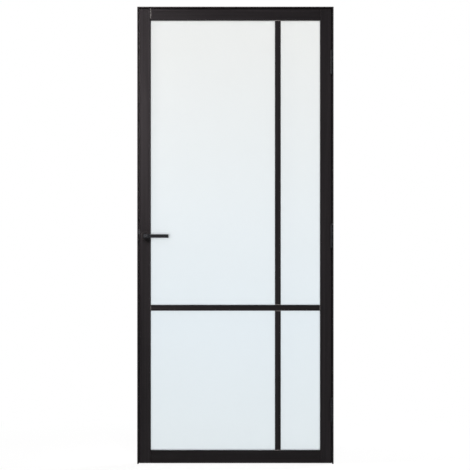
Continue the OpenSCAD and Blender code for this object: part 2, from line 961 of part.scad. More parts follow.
module glass_pane(i) {
    color(satin_glass) pane_block(i, [for (d = pane_rebates(i)) d - glass_gap], glass_y0, glass_y1);
}

module glass_upper_wide() {
    glass_pane(0);
}

module glass_upper_narrow() {
    glass_pane(1);
}

module glass_lower_wide() {
    glass_pane(2);
}

module glass_lower_narrow() {
    glass_pane(3);
}

// One bead along plus X from the origin, mitred at both ends, with the sight edge on top
module bead(length, depth, start_depth, end_depth) {
    difference() {
        along_y(bead_y, back) polygon([
            [mitre_gap, 0],
            [length - mitre_gap, 0],
            [length + end_depth - mitre_gap, -depth],
            [mitre_gap - start_depth, -depth]
        ]);
        along_x(-start_depth - eps, length + end_depth + eps)
            translate([back, 0]) rotate(180) corner_cut(bead_r);
    }
}

// Four beads around a pane
module beads(i) {
    e = pane_edges(i);
    d = pane_rebates(i);
    across = e[1] - e[0];
    up = e[3] - e[2];
    color(black_lacquer) {
        translate([e[0], 0, e[2]]) bead(across, d[2], d[0], d[1]);
        translate([e[1], 0, e[2]]) rotate([0, -90, 0]) bead(up, d[1], d[2], d[3]);
        translate([e[1], 0, e[3]]) rotate([0, 180, 0]) bead(across, d[3], d[1], d[0]);
        translate([e[0], 0, e[3]]) rotate([0, 90, 0]) bead(up, d[0], d[3], d[2]);
    }
}

module beads_upper_wide() {
    beads(0);
}

module beads_upper_narrow() {
    beads(1);
}

module beads_lower_wide() {
    beads(2);
}

module beads_lower_narrow() {
    beads(3);
}

// Ring of glazing tape around each pane
module tapes(y0, y1) {
    inset = 0.5;
    color(rubber) for (i = [0:3]) difference() {
        pane_block(i, [for (d = pane_rebates(i)) d - glass_gap], y0, y1);
        pane_block(i, [inset, inset, inset, inset], y0 - eps, y1 + eps);
    }
}

module tapes_front() {
    tapes(lip_y, glass_y0);
}

module tapes_back() {
    tapes(glass_y1, bead_y);
}

// Two blocks that carry each pane
module setting_blocks() {
    color(nylon) for (i = [0:3]) {
        e = pane_edges(i);
        z0 = e[2] - pane_rebates(i)[2];
        for (share = block_shares) {
            x = e[0] + share * (e[1] - e[0]);
            box([x - block_len / 2, glass_y0, z0], [x + block_len / 2, glass_y1, z0 + glass_gap]);
        }
    }
}

// Latch

module lock_pocket() {
    box(
        [leaf_x0 - eps, -case_half_t - pocket_play, case_z0 - pocket_play],
        [case_x1 + pocket_play, case_half_t + pocket_play, case_z1 + pocket_play]
    );
    box([leaf_x0 - eps, -faceplate_w / 2, faceplate_z0], [case_x0, faceplate_w / 2, faceplate_z1]);
}

// Opening that the bolt head slides through
module bolt_opening(x0, x1) {
    box(
        [x0, -bolt_t / 2 - bolt_play, axis_z + bolt_z0 - bolt_play],
        [x1, bolt_t / 2 + bolt_play, axis_z + bolt_z1 + bolt_play]
    );
}

// Places of the four case screws as X and Z
function case_screw_places() = [
    for (x = [case_x0 + case_wall + post_in, case_x1 - case_wall - post_in])
        for (z = [case_z0 + case_wall + post_in, case_z1 - case_wall - post_in]) [x, z]
];

module at_case_screws() {
    for (place = case_screw_places())
        translate([place[0], -case_half_t, place[1]]) rotate([-90, 0, 0]) children();
}

// Tray of the lock, open to the front
module lock_case() {
    color(steel) difference() {
        union() {
            difference() {
                box([case_x0, case_wall - case_half_t, case_z0], [case_x1, case_half_t, case_z1]);
                box(
                    [case_x0 + case_wall, -case_half_t, case_z0 + case_wall],
                    [case_x1 - case_wall, case_half_t - case_wall, case_z1 - case_wall]
                );
            }
            for (place = case_screw_places())
                rod_y(place[0], case_wall - case_half_t, case_half_t - case_wall, place[1], post_r);
        }
        bolt_opening(case_x0 - eps, case_x0 + case_wall + eps);
        rod_y(axis_x, 0, case_half_t + eps, axis_z, trunnion_r + socket_play);
        at_case_screws() screw_hole(case_screw);
    }
}

module lock_cover() {
    color(steel) difference() {
        box([case_x0, -case_half_t, case_z0], [case_x1, case_wall - case_half_t, case_z1]);
        rod_y(axis_x, -case_half_t - eps, 0, axis_z, trunnion_r + socket_play);
        at_case_screws() screw_hole(case_screw);
    }
}

module lock_case_screws() {
    color(steel) at_case_screws() screw(case_screw);
}

module at_faceplate_screws() {
    for (z = [faceplate_z0 + faceplate_screw_in, faceplate_z1 - faceplate_screw_in])
        translate([leaf_x0, 0, z]) rotate([0, 90, 0]) children();
}

module lock_faceplate() {
    color(steel) difference() {
        box([leaf_x0, -faceplate_w / 2, faceplate_z0], [case_x0, faceplate_w / 2, faceplate_z1]);
        bolt_opening(leaf_x0 - eps, case_x0 + eps);
        at_faceplate_screws() screw_hole(faceplate_screw);
    }
}

module faceplate_screws() {
    color(steel) at_faceplate_screws() screw(faceplate_screw);
}

// Spring bolt with a bevelled head, a tail over the follower and a tooth that its arm draws
module latch_bolt() {
    tip_x = leaf_x0 - bolt_throw;
    color(steel) translate([0, 0, axis_z]) {
        difference() {
            box([tip_x, -bolt_t / 2, bolt_z0], [bolt_head_x1, bolt_t / 2, bolt_z1]);
            translate([0, 0, bolt_z0 - eps]) linear_extrude(bolt_h + 2 * eps) polygon([
                [tip_x - eps, bolt_t / 2 - bevel - eps],
                [tip_x + bevel + eps, bolt_t / 2 + eps],
                [tip_x - eps, bolt_t / 2 + eps]
            ]);
        }
        box([bolt_head_x1, -tail_half_t, tail_z0], [tooth_x0 + tooth_t, tail_half_t, tail_z1]);
        box([tooth_x0, -tail_half_t, tooth_z0], [tooth_x0 + tooth_t, tail_half_t, tail_z0]);
    }
}

module latch_spring() {
    length = case_x1 - case_wall - bolt_head_x1;
    color(steel) translate([bolt_head_x1, 0, axis_z + latch_spring_z]) coil_spring(length, latch_spring_size);
}

// Arm of the follower from its hub to a round tip, leaning from the upright toward plus X
module follower_arm(lean, reach) {
    rotate([0, lean, 0]) {
        box([-arm_half_w, -arm_t / 2, 0], [arm_half_w, arm_t / 2, reach]);
        rod_y(0, -arm_t / 2, arm_t / 2, reach, arm_tip_r);
    }
}

// Hub that the spindle turns, with an arm for the bolt and one for the return spring
module follower() {
    hub_half_t = case_half_t - case_wall - hub_play;
    square_half = spindle_side / 2 + socket_play;
    color(steel) translate([axis_x, 0, axis_z]) difference() {
        union() {
            rod_y(0, -hub_half_t, hub_half_t, 0, hub_r);
            rod_y(0, -case_half_t, case_half_t, 0, trunnion_r);
            follower_arm(-lever_turn, arm_r);
            follower_arm(180 - lower_arm_lean, lower_arm_r);
        }
        box([-square_half, -case_half_t - eps, -square_half], [square_half, case_half_t + eps, square_half]);
    }
}

module return_spring() {
    x0 = case_x0 + case_wall;
    x1 = axis_x + lower_arm_r * sin(lower_arm_lean) - arm_tip_r;
    color(steel) translate([x0, 0, axis_z + return_spring_z])
        coil_spring(x1 - x0 - return_spring_gap, return_spring_size);
}

// Lever set

module spindle() {
    half = spindle_side / 2;
    color(steel) translate([axis_x, 0, axis_z])
        box([-half, -spindle_half_len, -half], [half, spindle_half_len, half]);
}

// Lever on the front of the door: collar, neck, elbow and square bar
module front_lever() {
    neck_y0 = lever_bar_y + elbow_r;
    shoulder_y = front - rose_t - shoulder_gap;
    bevel_side = lever_tip_bevel * sqrt(2);
    square_half = spindle_side / 2 + socket_play;
    translate([axis_x, 0, axis_z]) difference() {
        union() {
            rod_y(0, shoulder_y, front - collar_gap, 0, collar_r);
            rod_y(0, shoulder_y - shoulder_h, shoulder_y, 0, shoulder_r);
            translate([0, shoulder_y - shoulder_h, 0]) rotate([90, 0, 0])
                linear_extrude(shoulder_y - shoulder_h - neck_y0) round_square(lever_bar, lever_corner_r);
            translate([elbow_r, neck_y0, 0]) rotate([0, 0, 180]) rotate_extrude(angle = 90)
                translate([elbow_r, 0]) round_square(lever_bar, lever_corner_r);
            translate([elbow_r, lever_bar_y, 0]) rotate([90, 0, 90])
                linear_extrude(lever_len - elbow_r) round_square(lever_bar, lever_corner_r);
        }
        box(
            [-square_half, -spindle_half_len - socket_end_gap, -square_half],
            [square_half, front, square_half]
        );
        rod_z(0, grub_y, -lever_bar, -square_half + eps, grub_r + screw_play);
        for (turn = [0:90:270])
            translate([lever_len, lever_bar_y, 0]) rotate([turn, 0, 0]) translate([0, lever_bar / 2, 0])
                rotate(45) cube([bevel_side, bevel_side, 2 * lever_bar], center = true);
    }
}

module lever_front() {
    color(black_metal) front_lever();
}

module lever_rear() {
    color(black_metal) mirror([0, 1, 0]) front_lever();
}

// Puts a piece on the front face at the lever axis, with its own Z toward the front
module on_front_face() {
    translate([axis_x, front, axis_z]) rotate([90, 0, 0]) children();
}

module front_rose() {
    on_front_face() rotate_extrude() difference() {
        translate([collar_r + rose_bore_gap, 0]) square([rose_r - collar_r - rose_bore_gap, rose_t]);
        translate([0, -eps]) square([rose_r - rose_wall, rose_t - rose_wall + eps]);
        translate([rose_r, rose_t]) rotate(180) corner_cut(edge_r);
    }
}

module rose_front() {
    color(black_metal) front_rose();
}

module rose_rear() {
    color(black_metal) mirror([0, 1, 0]) front_rose();
}

module both_faces() {
    children();
    mirror([0, 1, 0]) children();
}

// Screws that hold the rose bases to the stile
module at_rose_screws() {
    both_faces() on_front_face() for (dz = [-rose_screw_offset, rose_screw_offset])
        translate([0, dz, rose_base_t]) rotate([180, 0, 0]) children();
}

module rose_bases() {
    color(steel) difference() {
        both_faces() on_front_face() difference() {
            cylinder(h = rose_base_t, r = rose_r - rose_wall - rose_base_play);
            translate([0, 0, -eps]) cylinder(h = rose_base_t + 2 * eps, r = bush_r + bush_play);
        }
        at_rose_screws() screw_hole(rose_screw);
    }
}

module lever_bushes() {
    color(nylon) both_faces() on_front_face() difference() {
        cylinder(h = rose_t - rose_wall, r = bush_r);
        translate([0, 0, -eps]) cylinder(h = rose_t + 2 * eps, r = collar_r + collar_play);
    }
}

module rose_screws() {
    color(steel) at_rose_screws() screw(rose_screw);
}

// Set screws that clamp the levers on the spindle
module grub_screws() {
    z0 = axis_z - lever_bar / 2 + grub_sink;
    socket_r = socket_share * grub_r;
    color(steel) both_faces() difference() {
        rod_z(axis_x, grub_y, z0, axis_z - spindle_side / 2, grub_r);
        translate([axis_x, grub_y, z0 - eps]) cylinder(h = eps + socket_r, r = socket_r, $fn = 6);
    }
}

frame_jamb_latch();
frame_jamb_hinge();
frame_head();
corner_cleats();
corner_screws();
seal_latch();
seal_hinge();
seal_head();
strike_plate();
strike_screws();
fixing_caps();
hinge_bottom_frame_plate();
hinge_middle_frame_plate();
hinge_top_frame_plate();
hinge_bottom_leaf_plate();
hinge_middle_leaf_plate();
hinge_top_leaf_plate();
hinge_pins();
hinge_washers();
hinge_frame_screws();
hinge_leaf_screws();
stile_latch();
stile_hinge();
rail_top();
rail_bottom();
bar_horizontal();
bar_vertical_upper();
bar_vertical_lower();
glass_upper_wide();
glass_upper_narrow();
glass_lower_wide();
glass_lower_narrow();
beads_upper_wide();
beads_upper_narrow();
beads_lower_wide();
beads_lower_narrow();
tapes_front();
tapes_back();
setting_blocks();
corner_dowels();
bar_dowels();
lock_case();
lock_cover();
lock_case_screws();
lock_faceplate();
faceplate_screws();
latch_bolt();
latch_spring();
follower();
return_spring();
spindle();
lever_front();
lever_rear();
rose_front();
rose_rear();
rose_bases();
lever_bushes();
rose_screws();
grub_screws();
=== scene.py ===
import math
import bpy
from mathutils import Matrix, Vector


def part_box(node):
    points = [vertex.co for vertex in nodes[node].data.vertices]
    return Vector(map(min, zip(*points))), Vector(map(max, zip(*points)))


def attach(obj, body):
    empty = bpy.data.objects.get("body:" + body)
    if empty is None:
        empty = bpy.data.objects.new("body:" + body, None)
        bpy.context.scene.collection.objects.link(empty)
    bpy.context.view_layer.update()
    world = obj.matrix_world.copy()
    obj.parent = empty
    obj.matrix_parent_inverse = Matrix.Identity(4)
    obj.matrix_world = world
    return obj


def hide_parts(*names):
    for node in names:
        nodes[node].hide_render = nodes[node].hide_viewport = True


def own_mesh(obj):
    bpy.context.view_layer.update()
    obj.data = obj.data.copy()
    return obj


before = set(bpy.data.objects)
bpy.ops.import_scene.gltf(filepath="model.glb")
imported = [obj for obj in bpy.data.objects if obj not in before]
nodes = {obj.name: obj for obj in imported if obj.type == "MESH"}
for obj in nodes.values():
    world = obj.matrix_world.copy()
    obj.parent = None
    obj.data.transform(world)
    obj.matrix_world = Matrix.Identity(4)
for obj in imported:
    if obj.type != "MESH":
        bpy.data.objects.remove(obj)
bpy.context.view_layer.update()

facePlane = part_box("stile_latch")[0][1]     # front face of the leaf
acrossDoor, intoDoor, upDoor = 0, 1, 2      # X, Y and Z
print("frame loaded:", len(nodes), "nodes")


def clearSelection():
    if bpy.context.object and bpy.context.object.mode != "OBJECT":
        bpy.ops.object.mode_set(mode="OBJECT")
    bpy.ops.object.select_all(action="DESELECT")


cameraView = {
    "distance": 9.0,        # long lens, so the door stands square to the picture
    "acrossView": 2.0410,   # metres across the picture at the face of the leaf
    "aimX": -0.0018,
    "aimZ": 0.9944,
    "sensor": 36,           # millimetres
    "seesTo": 60,
}


def placeCamera(view):
    clearSelection()
    spot = (view["aimX"], facePlane - view["distance"], view["aimZ"])
    bpy.ops.object.camera_add(location=spot, rotation=(math.radians(90), 0, 0))
    camera = bpy.context.object
    camera.name = "doorCamera"
    camera.data.sensor_width = view["sensor"]
    camera.data.lens = view["sensor"] * view["distance"] / view["acrossView"]
    camera.data.clip_end = view["seesTo"]
    bpy.context.scene.camera = camera


placeCamera(cameraView)
print("camera placed")


def newMaterial(name):
    material = bpy.data.materials.new(name)
    material.use_nodes = True
    tree = material.node_tree
    return material, tree, tree.nodes["Principled BSDF"]


def addNode(tree, kind, spot, **settings):
    node = tree.nodes.new(kind)
    node.location = spot
    for key, value in settings.items():
        setattr(node, key, value)
    return node


def setInputs(node, values):
    for key, value in values.items():
        node.inputs[key].default_value = value


def placeGroup(tree, group, spot, values):
    node = addNode(tree, "ShaderNodeGroup", spot, node_tree=group)
    setInputs(node, values)
    return node


def objectPoint(tree):
    return addNode(tree, "ShaderNodeTexCoord", (-1200, 0)).outputs["Object"]


def newGroup(name, inputs, outputs):
    group = bpy.data.node_groups.new(name, "ShaderNodeTree")
    for label, kind in inputs:
        group.interface.new_socket(label, in_out="INPUT", socket_type=kind)
    for label, kind in outputs:
        group.interface.new_socket(label, in_out="OUTPUT", socket_type=kind)
    start = addNode(group, "NodeGroupInput", (-900, 0))
    end = addNode(group, "NodeGroupOutput", (900, 0))
    return group, start, end


mixShare, mixFirst, mixSecond, mixResult = 0, 6, 7, 2     # sockets of a Mix node that mixes colours


# streaks drawn out along one direction, for brushed lacquer, brushed steel and timber
def buildStreakGroup():
    group, start, end = newGroup(
        "drawnStreaks",
        [("Point", "NodeSocketVector"), ("Stretch", "NodeSocketVector"), ("Drift", "NodeSocketFloat")],
        [("Broad", "NodeSocketFloat"), ("Fine", "NodeSocketFloat")],
    )
    drawn = addNode(group, "ShaderNodeVectorMath", (-650, 0), operation="MULTIPLY")
    broad = addNode(group, "ShaderNodeTexNoise", (-350, 150))
    setInputs(broad, {"Scale": 1.0, "Detail": 2.0, "Roughness": 0.5})
    fine = addNode(group, "ShaderNodeTexNoise", (-350, -150))
    setInputs(fine, {"Scale": 4.5, "Detail": 3.0, "Roughness": 0.6})
    link = group.links.new
    link(start.outputs["Point"], drawn.inputs[0])
    link(start.outputs["Stretch"], drawn.inputs[1])
    link(drawn.outputs["Vector"], broad.inputs["Vector"])
    link(drawn.outputs["Vector"], fine.inputs["Vector"])
    link(start.outputs["Drift"], broad.inputs["Distortion"])
    link(broad.outputs["Fac"], end.inputs["Broad"])
    link(fine.outputs["Fac"], end.inputs["Fine"])
    return group


# even pebble of a sprayed or baked coat
def buildPebbleGroup():
    group, start, end = newGroup(
        "coatPebble",
        [("Point", "NodeSocketVector"), ("Size", "NodeSocketFloat")],
        [("Height", "NodeSocketFloat"), ("Speck", "NodeSocketFloat")],
    )
    cells = addNode(group, "ShaderNodeTexNoise", (-400, 150))
    setInputs(cells, {"Detail": 2.0, "Roughness": 0.45})
    specks = addNode(group, "ShaderNodeTexVoronoi", (-400, -150), feature="F1")
    toned = addNode(group, "ShaderNodeMapRange", (-100, -150))
    setInputs(toned, {"From Min": 0.1, "From Max": 0.6})
    link = group.links.new
    link(start.outputs["Point"], cells.inputs["Vector"])
    link(start.outputs["Size"], cells.inputs["Scale"])
    link(start.outputs["Point"], specks.inputs["Vector"])
    link(start.outputs["Size"], specks.inputs["Scale"])
    link(specks.outputs["Distance"], toned.inputs["Value"])
    link(cells.outputs["Fac"], end.inputs["Height"])
    link(toned.outputs["Result"], end.inputs["Speck"])
    return group


# slow cloudy change over a surface, as from hands and cleaning
def buildHandledGroup():
    group, start, end = newGroup(
        "handledClouds",
        [("Point", "NodeSocketVector"), ("Size", "NodeSocketFloat"),
         ("Low", "NodeSocketFloat"), ("High", "NodeSocketFloat")],
        [("Value", "NodeSocketFloat")],
    )
    clouds = addNode(group, "ShaderNodeTexNoise", (-400, 0))
    setInputs(clouds, {"Detail": 5.0, "Roughness": 0.55, "Distortion": 0.4})
    spread = addNode(group, "ShaderNodeMapRange", (-100, 0), interpolation_type="SMOOTHSTEP")
    setInputs(spread, {"From Min": 0.3, "From Max": 0.7})
    link = group.links.new
    link(start.outputs["Point"], clouds.inputs["Vector"])
    link(start.outputs["Size"], clouds.inputs["Scale"])
    link(clouds.outputs["Fac"], spread.inputs["Value"])
    link(start.outputs["Low"], spread.inputs["To Min"])
    link(start.outputs["High"], spread.inputs["To Max"])
    link(spread.outputs["Result"], end.inputs["Value"])
    return group


# one colour moved a little toward another by a mask
def buildToneGroup():
    group, start, end = newGroup(
        "toneByMask",
        [("Mask", "NodeSocketFloat"), ("Dark", "NodeSocketColor"), ("Light", "NodeSocketColor")],
        [("Color", "NodeSocketColor")],
    )
    spread = addNode(group, "ShaderNodeMapRange", (-300, 100))
    setInputs(spread, {"From Min": 0.3, "From Max": 0.7})
    mixed = addNode(group, "ShaderNodeMix", (0, 0), data_type="RGBA")
    link = group.links.new
    link(start.outputs["Mask"], spread.inputs["Value"])
    link(spread.outputs["Result"], mixed.inputs[mixShare])
    link(start.outputs["Dark"], mixed.inputs[mixFirst])
    link(start.outputs["Light"], mixed.inputs[mixSecond])
    link(mixed.outputs[mixResult], end.inputs["Color"])
    return group


# pale line along the front edge of a piece where another meets it: partly edge wear, partly a painted
# highlight on the joint bevel
def buildWearAndHighlightGroup():
    group, start, end = newGroup(
        "jointWearAndHighlight",
        [("Point", "NodeSocketVector"), ("Axis", "NodeSocketVector"), ("Place", "NodeSocketFloat"),
         ("Side", "NodeSocketFloat"), ("Width", "NodeSocketFloat"), ("Depth", "NodeSocketFloat"),
         ("Above", "NodeSocketFloat"), ("Patchiness", "NodeSocketFloat"),
         ("Coat", "NodeSocketColor"), ("WearHighlightColor", "NodeSocketColor")],
        [("Color", "NodeSocketColor")],
    )
    along = addNode(group, "ShaderNodeVectorMath", (-700, 200), operation="DOT_PRODUCT")
    inward = addNode(group, "ShaderNodeMath", (-500, 200), operation="SUBTRACT")
    fromJoint = addNode(group, "ShaderNodeMath", (-300, 200), operation="MULTIPLY")
    nearJoint = addNode(group, "ShaderNodeMath", (-100, 200), operation="LESS_THAN")
    parts = addNode(group, "ShaderNodeSeparateXYZ", (-700, -100))
    inFront = addNode(group, "ShaderNodeMath", (-500, -50), operation="LESS_THAN")
    highUp = addNode(group, "ShaderNodeMath", (-500, -200), operation="GREATER_THAN")
    frontAbove = addNode(group, "ShaderNodeMath", (-300, -100), operation="MULTIPLY")
    uneven = addNode(group, "ShaderNodeMapRange", (-500, -350))
    setInputs(uneven, {"From Min": 0.25, "From Max": 0.6, "To Min": 0.80, "To Max": 0.86})
    both = addNode(group, "ShaderNodeMath", (100, 100), operation="MULTIPLY")
    mask = addNode(group, "ShaderNodeMath", (300, 100), operation="MULTIPLY")
    mixed = addNode(group, "ShaderNodeMix", (550, 0), data_type="RGBA")
    link = group.links.new
    link(start.outputs["Point"], along.inputs[0])
    link(start.outputs["Axis"], along.inputs[1])
    link(along.outputs["Value"], inward.inputs[0])
    link(start.outputs["Place"], inward.inputs[1])
    link(inward.outputs["Value"], fromJoint.inputs[0])
    link(start.outputs["Side"], fromJoint.inputs[1])
    link(fromJoint.outputs["Value"], nearJoint.inputs[0])
    link(start.outputs["Width"], nearJoint.inputs[1])
    link(start.outputs["Point"], parts.inputs["Vector"])
    link(parts.outputs["Y"], inFront.inputs[0])
    link(start.outputs["Depth"], inFront.inputs[1])
    link(parts.outputs["Z"], highUp.inputs[0])
    link(start.outputs["Above"], highUp.inputs[1])
    link(inFront.outputs["Value"], frontAbove.inputs[0])
    link(highUp.outputs["Value"], frontAbove.inputs[1])
    link(start.outputs["Patchiness"], uneven.inputs["Value"])
    link(nearJoint.outputs["Value"], both.inputs[0])
    link(frontAbove.outputs["Value"], both.inputs[1])
    link(both.outputs["Value"], mask.inputs[0])
    link(uneven.outputs["Result"], mask.inputs[1])
    link(mask.outputs["Value"], mixed.inputs[mixShare])
    link(start.outputs["Coat"], mixed.inputs[mixFirst])
    link(start.outputs["WearHighlightColor"], mixed.inputs[mixSecond])
    link(mixed.outputs[mixResult], end.inputs["Color"])
    return group


drawnStreaks = buildStreakGroup()
coatPebble = buildPebbleGroup()
handledClouds = buildHandledGroup()
toneByMask = buildToneGroup()
jointWearAndHighlight = buildWearAndHighlightGroup()
print("shared effects built")


lacquerLook = {
    "dark": (0.0076, 0.0066, 0.0074, 1),
    "light": (0.0138, 0.0121, 0.0134, 1),
    "roughLow": 0.48,
    "roughHigh": 0.56,
    "specular": 0.11,
    "cloudSize": 6.0,
    "acrossGrain": 170.0,   # streaks per metre across the piece
    "alongGrain": 2.2,
    "drift": 0.3,           # how far a streak wanders
    "pebble": 900.0,
    "streakShare": 0.5,     # height of the streaks against the pebble
    "bump": 0.10,
    "bumpDepth": 0.0004,
    "wearAndHighlight": (0.27, 0.26, 0.255),        # pale front edges at a joint: edge wear and a painted highlight
    "wearAndHighlightWidth": 0.0019,
    "wearAndHighlightDepth": 0.0019,                # back from the face
}

# the bottom rail is a shade darker than the other lacquered pieces
bottomRailLook = dict(lacquerLook, dark=(0.0055, 0.0047, 0.0053, 1), light=(0.0099, 0.0087, 0.0096, 1))


# matt lacquer with streaks along the length of the piece, with pale edges where it is told of them, partly
# wear and partly a painted highlight
def makeLacquer(name, look, lengthAxis, wearAndHighlightEdges=()):
    material, tree, shader = newMaterial(name)
    point = objectPoint(tree)
    stretch = [look["acrossGrain"]] * 3
    if lengthAxis is not None:
        stretch[lengthAxis] = look["alongGrain"]
    streaks = placeGroup(tree, drawnStreaks, (-900, 200), {"Stretch": stretch, "Drift": look["drift"]})
    clouds = placeGroup(tree, handledClouds, (-900, -100), {
        "Size": look["cloudSize"], "Low": look["roughLow"], "High": look["roughHigh"]})
    pebble = placeGroup(tree, coatPebble, (-900, -350), {"Size": look["pebble"]})
    tone = placeGroup(tree, toneByMask, (-600, 250), {"Dark": look["dark"], "Light": look["light"]})
    height = addNode(tree, "ShaderNodeMath", (-600, -250), operation="MULTIPLY_ADD")
    height.inputs[1].default_value = look["streakShare"]
    bump = addNode(tree, "ShaderNodeBump", (-350, -250))
    setInputs(bump, {"Strength": look["bump"], "Distance": look["bumpDepth"]})
    link = tree.links.new
    for group in (streaks, clouds, pebble):
        link(point, group.inputs["Point"])
    link(streaks.outputs["Broad"], tone.inputs["Mask"])
    color = tone.outputs["Color"]
    # pale joint edges: partly edge wear, partly a painted highlight on the bevels
    for axis, side, place, share, above in wearAndHighlightEdges:
        wornAndLitEdge = placeGroup(tree, jointWearAndHighlight, (-350, 300), {
            "Axis": [1.0 if way == axis else 0.0 for way in range(3)], "Place": place, "Side": side,
            "Width": look["wearAndHighlightWidth"], "Depth": facePlane + look["wearAndHighlightDepth"], "Above": above,
            "WearHighlightColor": [share * part for part in look["wearAndHighlight"]] + [1]})
        link(point, wornAndLitEdge.inputs["Point"])
        link(streaks.outputs["Fine"], wornAndLitEdge.inputs["Patchiness"])
        link(color, wornAndLitEdge.inputs["Coat"])
        color = wornAndLitEdge.outputs["Color"]
    link(color, shader.inputs["Base Color"])
    link(clouds.outputs["Value"], shader.inputs["Roughness"])
    link(streaks.outputs["Fine"], height.inputs[0])
    link(pebble.outputs["Height"], height.inputs[2])
    link(height.outputs["Value"], bump.inputs["Height"])
    link(bump.outputs["Normal"], shader.inputs["Normal"])
    setInputs(shader, {"Specular IOR Level": look["specular"]})
    return material


coatLook = {
    "dark": (0.0092, 0.0082, 0.0088, 1),
    "light": (0.0152, 0.0136, 0.0144, 1),
    "roughLow": 0.50,
    "roughHigh": 0.58,
    "specular": 0.12,
    "cloudSize": 14.0,
    "pebble": 1500.0,
    "bump": 0.22,
    "bumpDepth": 0.0003,
}

hardwareLook = {
    "dark": (0.0060, 0.0063, 0.0074, 1),
    "light": (0.0102, 0.0107, 0.0124, 1),
    "roughLow": 0.44,
    "roughHigh": 0.54,
    "specular": 0.10,
    "cloudSize": 14.0,
    "pebble": 2600.0,
    "bump": 0.10,
    "bumpDepth": 0.0003,
}

# the roses are browner than the levers
roseLook = dict(hardwareLook, dark=(0.0078, 0.0066, 0.0070, 1), light=(0.0128, 0.0110, 0.0116, 1))

capLook = {
    "dark": (0.0100, 0.0100, 0.0102, 1),
    "light": (0.0170, 0.0170, 0.0172, 1),
    "roughLow": 0.50,
    "roughHigh": 0.62,
    "specular": 0.45,
    "cloudSize": 14.0,
    "pebble": 3200.0,
    "bump": 0.18,
    "bumpDepth": 0.0003,
}

rubberLook = {
    "dark": (0.0075, 0.0075, 0.0078, 1),
    "light": (0.0140, 0.0140, 0.0144, 1),
    "roughLow": 0.62,
    "roughHigh": 0.78,
    "specular": 0.35,
    "cloudSize": 14.0,
    "pebble": 2200.0,
    "bump": 0.16,
    "bumpDepth": 0.0003,
}

nylonLook = {
    "dark": (0.60, 0.58, 0.52, 1),
    "light": (0.74, 0.72, 0.66, 1),
    "roughLow": 0.42,
    "roughHigh": 0.55,
    "specular": 0.45,
    "cloudSize": 14.0,
    "pebble": 1800.0,
    "bump": 0.08,
    "bumpDepth": 0.0003,
}


# sprayed, baked or moulded surface with an even pebble
def makeCoat(name, look):
    material, tree, shader = newMaterial(name)
    point = objectPoint(tree)
    pebble = placeGroup(tree, coatPebble, (-900, -250), {"Size": look["pebble"]})
    clouds = placeGroup(tree, handledClouds, (-900, 0), {
        "Size": look["cloudSize"], "Low": look["roughLow"], "High": look["roughHigh"]})
    tone = placeGroup(tree, toneByMask, (-600, 200), {"Dark": look["dark"], "Light": look["light"]})
    bump = addNode(tree, "ShaderNodeBump", (-350, -250))
    setInputs(bump, {"Strength": look["bump"], "Distance": look["bumpDepth"]})
    link = tree.links.new
    link(point, pebble.inputs["Point"])
    link(point, clouds.inputs["Point"])
    link(pebble.outputs["Speck"], tone.inputs["Mask"])
    link(tone.outputs["Color"], shader.inputs["Base Color"])
    link(clouds.outputs["Value"], shader.inputs["Roughness"])
    link(pebble.outputs["Height"], bump.inputs["Height"])
    link(bump.outputs["Normal"], shader.inputs["Normal"])
    setInputs(shader, {"Specular IOR Level": look["specular"]})
    return material


steelLook = {
    "dark": (0.40, 0.40, 0.41, 1),
    "light": (0.56, 0.56, 0.57, 1),
    "roughLow": 0.26,
    "roughHigh": 0.40,
    "metallic": 1.0,
    "cloudSize": 30.0,
    "acrossGrain": 2400.0,
    "alongGrain": 40.0,
    "drift": 0.0,
    "bump": 0.12,
    "bumpDepth": 0.0001,
}

cleatLook = {
    "dark": (0.50, 0.50, 0.51, 1),
    "light": (0.64, 0.64, 0.65, 1),
    "roughLow": 0.34,
    "roughHigh": 0.48,
    "metallic": 1.0,
    "cloudSize": 30.0,
    "acrossGrain": 1600.0,
    "alongGrain": 25.0,
    "drift": 0.0,
    "bump": 0.10,
    "bumpDepth": 0.0001,
}

beechLook = {
    "dark": (0.40, 0.24, 0.115, 1),
    "light": (0.58, 0.39, 0.21, 1),
    "roughLow": 0.55,
    "roughHigh": 0.70,
    "metallic": 0.0,
    "cloudSize": 60.0,
    "acrossGrain": 900.0,
    "alongGrain": 45.0,
    "drift": 0.6,
    "bump": 0.25,
    "bumpDepth": 0.0002,
}


# bare metal with the lines of its rolling or brushing, or bare turned wood with its flecks
def makeGrained(name, look, lengthAxis):
    material, tree, shader = newMaterial(name)
    point = objectPoint(tree)
    stretch = [look["acrossGrain"]] * 3
    stretch[lengthAxis] = look["alongGrain"]
    streaks = placeGroup(tree, drawnStreaks, (-900, 200), {"Stretch": stretch, "Drift": look["drift"]})
    clouds = placeGroup(tree, handledClouds, (-900, -100), {
        "Size": look["cloudSize"], "Low": look["roughLow"], "High": look["roughHigh"]})
    tone = placeGroup(tree, toneByMask, (-600, 200), {"Dark": look["dark"], "Light": look["light"]})
    bump = addNode(tree, "ShaderNodeBump", (-350, -250))
    setInputs(bump, {"Strength": look["bump"], "Distance": look["bumpDepth"]})
    link = tree.links.new
    link(point, streaks.inputs["Point"])
    link(point, clouds.inputs["Point"])
    link(streaks.outputs["Broad"], tone.inputs["Mask"])
    link(tone.outputs["Color"], shader.inputs["Base Color"])
    link(clouds.outputs["Value"], shader.inputs["Roughness"])
    link(streaks.outputs["Fine"], bump.inputs["Height"])
    link(bump.outputs["Normal"], shader.inputs["Normal"])
    setInputs(shader, {"Metallic": look["metallic"]})
    return material


